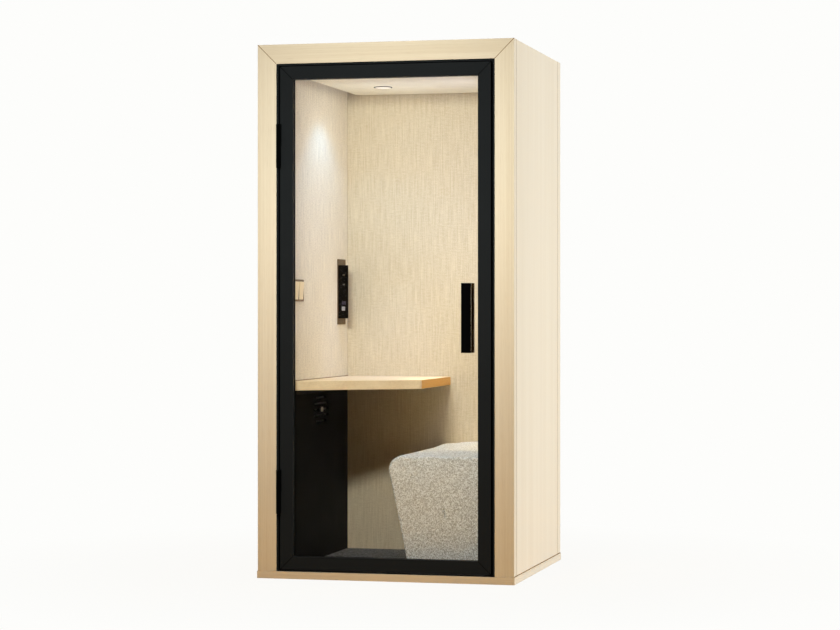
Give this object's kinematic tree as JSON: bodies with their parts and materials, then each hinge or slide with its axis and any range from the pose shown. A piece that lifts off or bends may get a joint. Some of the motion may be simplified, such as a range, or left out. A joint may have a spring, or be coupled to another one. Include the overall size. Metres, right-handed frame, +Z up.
{
  "type": "acoustic office pod",
  "caption": "Tall box-shaped phone pod for one person: wood shell on a plinth, framed glass swing door, felt-lined cabin with corner desk, upholstered bench, power unit and ventilation.",
  "frame": {"origin": "on the floor, in the middle of the plinth's underside", "axes": "+X to the right of someone who faces the door from outside, +Y from the door to the back, +Z up"},
  "size_m": [1.085, 1.0315, 2.2],
  "materials": {
    "wood_laminate": "pale straight-grained laminate, satin",
    "roof_board": "plain board, matt",
    "acoustic_wool": "pressed wool, matt",
    "wall_felt": "linen-like woven wall fabric",
    "carpet": "dark loop pile",
    "upholstery": "grey-beige melange weave",
    "dark_panel": "black powder coat, matt",
    "ceiling_board": "off-white, matt",
    "black_metal": "black powder coat, satin",
    "black_plastic": "moulded, fine grain",
    "white_plastic": "moulded, glossy",
    "violet_plastic": "moulded, dark violet",
    "lamp_diffuser": "opal diffuser, lit",
    "bronze_plate": "bronze brown, satin",
    "switch_tan": "moulded, satin",
    "steel": "zinc-plated or brushed",
    "rubber": "extruded, matt",
    "door_glass": "clear laminated"
  },
  "bodies": {
    "shell": {"base_plinth": "wood_laminate", "floor_carpet": "carpet", "front_left_stile": "wood_laminate", "front_right_stile": "wood_laminate", "front_top_rail": "wood_laminate", "left_side_panel": "wood_laminate", "right_side_panel": "wood_laminate", "back_panel": "wood_laminate", "roof_panel": "roof_board", "left_core": "acoustic_wool", "right_core": "acoustic_wool", "left_felt_panel": "wall_felt", "left_lower_panel": "dark_panel", "right_felt_panel": "wall_felt", "back_felt_panel": "wall_felt", "ceiling_panel": "ceiling_board", "downlight_trim": "black_metal", "downlight_lens": "lamp_diffuser", "downlight_can": "steel", "jamb_left": "black_metal", "jamb_right": "black_metal", "jamb_head": "black_metal", "threshold": "black_metal", "door_seal": "rubber", "desk_top": "wood_laminate", "desk_wall_rail": "black_metal", "seat_cushion": "upholstery", "seat_carcass": "roof_board", "power_back_plate": "bronze_plate", "power_module": "black_plastic", "socket_upper": "black_plastic", "socket_lower": "black_plastic", "usb_port": "violet_plastic", "data_port": "white_plastic", "switch_plate": "bronze_plate", "intake_fan_housing": "black_plastic", "exhaust_fan_housing": "black_plastic", "roof_vent_grille": "black_metal", "mains_inlet": "black_plastic", "hinge_upper_jamb_half": "black_metal", "hinge_lower_jamb_half": "black_metal"},
    "door": {"door_left_stile": "black_metal", "door_right_stile": "black_metal", "door_top_rail": "black_metal", "door_bottom_rail": "black_metal", "door_glass": "door_glass", "glazing_bead": "rubber", "handle_outer": "black_metal", "handle_inner": "black_metal", "hinge_upper_door_half": "black_metal", "hinge_lower_door_half": "black_metal"},
    "light_switch": {"light_rocker": "switch_tan"},
    "fan_switch": {"fan_rocker": "switch_tan"},
    "latch": {"panel_latch": "steel"},
    "intake_rotor": {"intake_fan_rotor": "black_plastic"},
    "exhaust_rotor": {"exhaust_fan_rotor": "black_plastic"},
    "foot_front_left": {"levelling_foot_front_left": "steel"},
    "foot_front_right": {"levelling_foot_front_right": "steel"},
    "foot_rear_left": {"levelling_foot_rear_left": "steel"},
    "foot_rear_right": {"levelling_foot_rear_right": "steel"}
  },
  "joints": [
    {"name": "door_swing", "type": "hinge", "parent": "shell", "child": "door", "pos_m": [-0.448, -0.514, 1], "axis": [0, 0, -1], "range_deg": [0, 115]},
    {"name": "light_rock", "type": "hinge", "parent": "shell", "child": "light_switch", "pos_m": [-0.41575, -0.3745, 1.188], "axis": [0, -1, 0], "range_deg": [0, 8]},
    {"name": "fan_rock", "type": "hinge", "parent": "shell", "child": "fan_switch", "pos_m": [-0.41575, -0.3055, 1.188], "axis": [0, -1, 0], "range_deg": [0, 8]},
    {"name": "latch_turn", "type": "hinge", "parent": "shell", "child": "latch", "pos_m": [-0.4205, 0.022, 0.677], "axis": [1, 0, 0], "range_deg": [0, 90]},
    {"name": "intake_spin", "type": "hinge", "parent": "shell", "child": "intake_rotor", "pos_m": [-0.491, 0.02, 0.677], "axis": [1, 0, 0], "continuous": true},
    {"name": "exhaust_spin", "type": "hinge", "parent": "shell", "child": "exhaust_rotor", "pos_m": [0.12, 0.15, 2.162], "axis": [0, 0, 1], "continuous": true},
    {"name": "foot_front_left_screw", "type": "slide", "parent": "shell", "child": "foot_front_left", "axis": [0, 0, -1], "range_m": [0, 0.012]},
    {"name": "foot_front_right_screw", "type": "slide", "parent": "shell", "child": "foot_front_right", "axis": [0, 0, -1], "range_m": [0, 0.012]},
    {"name": "foot_rear_left_screw", "type": "slide", "parent": "shell", "child": "foot_rear_left", "axis": [0, 0, -1], "range_m": [0, 0.012]},
    {"name": "foot_rear_right_screw", "type": "slide", "parent": "shell", "child": "foot_rear_right", "axis": [0, 0, -1], "range_m": [0, 0.012]}
  ]
}
